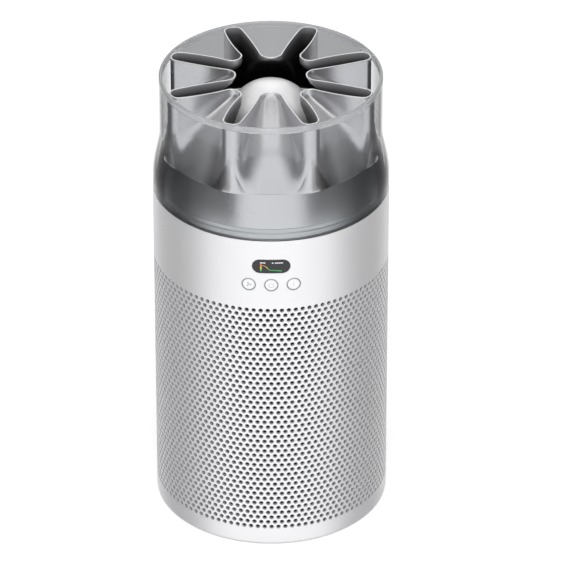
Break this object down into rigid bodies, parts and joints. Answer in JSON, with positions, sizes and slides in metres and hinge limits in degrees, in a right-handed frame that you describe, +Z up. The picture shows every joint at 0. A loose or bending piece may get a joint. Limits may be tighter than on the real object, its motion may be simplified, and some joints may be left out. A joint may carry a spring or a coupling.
{
  "type": "air purifier",
  "caption": "Upright cylindrical air purifier with a perforated shroud, a blower, a drop-out filter and a star-shaped outlet nozzle inside a clear collar.",
  "frame": {"origin": "on the floor, at the middle of the round foot", "axes": "+Z up along the cylinder's axis, front (display and buttons) towards -Y, power inlet towards +Y"},
  "size_m": [0.23, 0.23, 0.4684],
  "materials": {
    "white_shell": "satin silver-white",
    "silver_plastic": "polished satin silver",
    "clear_plastic": "clear, lightly smoked, glossy",
    "dome_silver": "satin light silver",
    "dark_duct": "matt black",
    "grey_plastic": "fine moulded grain",
    "light_plastic": "fine moulded grain",
    "collar_base": "satin grey",
    "display_glass": "piano black",
    "button_cap": "satin white",
    "bezel_grey": "satin grey",
    "black_plastic": "fine moulded grain",
    "rubber": "matt",
    "steel": "bright zinc",
    "brass": "turned",
    "magnet": "ground ferrite",
    "laminations": "stacked sheet edges",
    "copper_wire": "enamelled winding",
    "aluminium": "die cast",
    "circuit_board": "solder mask",
    "filter_paper": "fine fibre paper",
    "filter_net": "fine woven net",
    "carbon_felt": "coarse felt",
    "foam": "closed cell foam",
    "nylon": "smooth"
  },
  "bodies": {
    "root": {"outer_shroud": "white_shell", "foot_ring": "rubber", "lower_chassis": "black_plastic", "bulkhead": "grey_plastic", "blower_housing": "grey_plastic", "housing_screws": "steel", "motor_can": "aluminium", "motor_endbell": "aluminium", "motor_stator": "laminations", "stator_windings": "copper_wire", "motor_bearings": "steel", "motor_isolator": "rubber", "endbell_screws": "steel", "diffuser": "grey_plastic", "cable_conduit": "grey_plastic", "motor_lead": "black_plastic", "nozzle_dome": "dome_silver", "outlet_duct": "dark_duct", "head_ring": "collar_base", "collar_o_ring": "collar_base", "nozzle_skirt": "silver_plastic", "star_nozzle": "silver_plastic", "clear_collar": "clear_plastic", "display_window": "display_glass", "display_module": "black_plastic", "control_board": "circuit_board", "control_bracket": "light_plastic", "board_screws": "steel", "button_bezels": "bezel_grey", "button_switches": "black_plastic", "power_board": "circuit_board", "power_bracket": "light_plastic", "power_inlet": "black_plastic", "inlet_pins": "steel", "air_sensor": "grey_plastic"},
    "impeller": {"impeller": "black_plastic", "impeller_nut": "brass", "motor_shaft": "steel", "rotor_magnet": "magnet"},
    "fan_button": {"fan_button": "button_cap"},
    "power_button": {"power_button": "button_cap"},
    "info_button": {"info_button": "button_cap"},
    "filter": {"thrust_washer": "nylon", "filter_bottom_cap": "black_plastic", "filter_top_cap": "black_plastic", "prefilter_mesh": "filter_net", "hepa_pleats": "filter_paper", "carbon_sleeve": "carbon_felt", "filter_core": "grey_plastic", "filter_seal": "foam"},
    "base_cover": {"base_cover": "light_plastic", "retainer_washer": "steel", "retainer_screw": "steel"}
  },
  "joints": [
    {"name": "impeller_spin", "type": "hinge", "parent": "root", "child": "impeller", "pos_m": [0, 0, 0.303], "axis": [0, 0, 1], "continuous": true},
    {"name": "fan_button_press", "type": "slide", "parent": "root", "child": "fan_button", "axis": [0, 1, 0], "range_m": [0, 0.0008], "stiffness_N_per_m": 1500},
    {"name": "power_button_press", "type": "slide", "parent": "root", "child": "power_button", "axis": [0, 1, 0], "range_m": [0, 0.0008], "stiffness_N_per_m": 1500},
    {"name": "info_button_press", "type": "slide", "parent": "root", "child": "info_button", "axis": [0, 1, 0], "range_m": [0, 0.0008], "stiffness_N_per_m": 1500},
    {"name": "filter_drop", "type": "slide", "parent": "root", "child": "filter", "axis": [0, 0, -1], "range_m": [0, 0.27]},
    {"name": "base_twist", "type": "hinge", "parent": "filter", "child": "base_cover", "pos_m": [0, 0, 0.01], "axis": [0, 0, 1], "range_deg": [0, 20]}
  ]
}
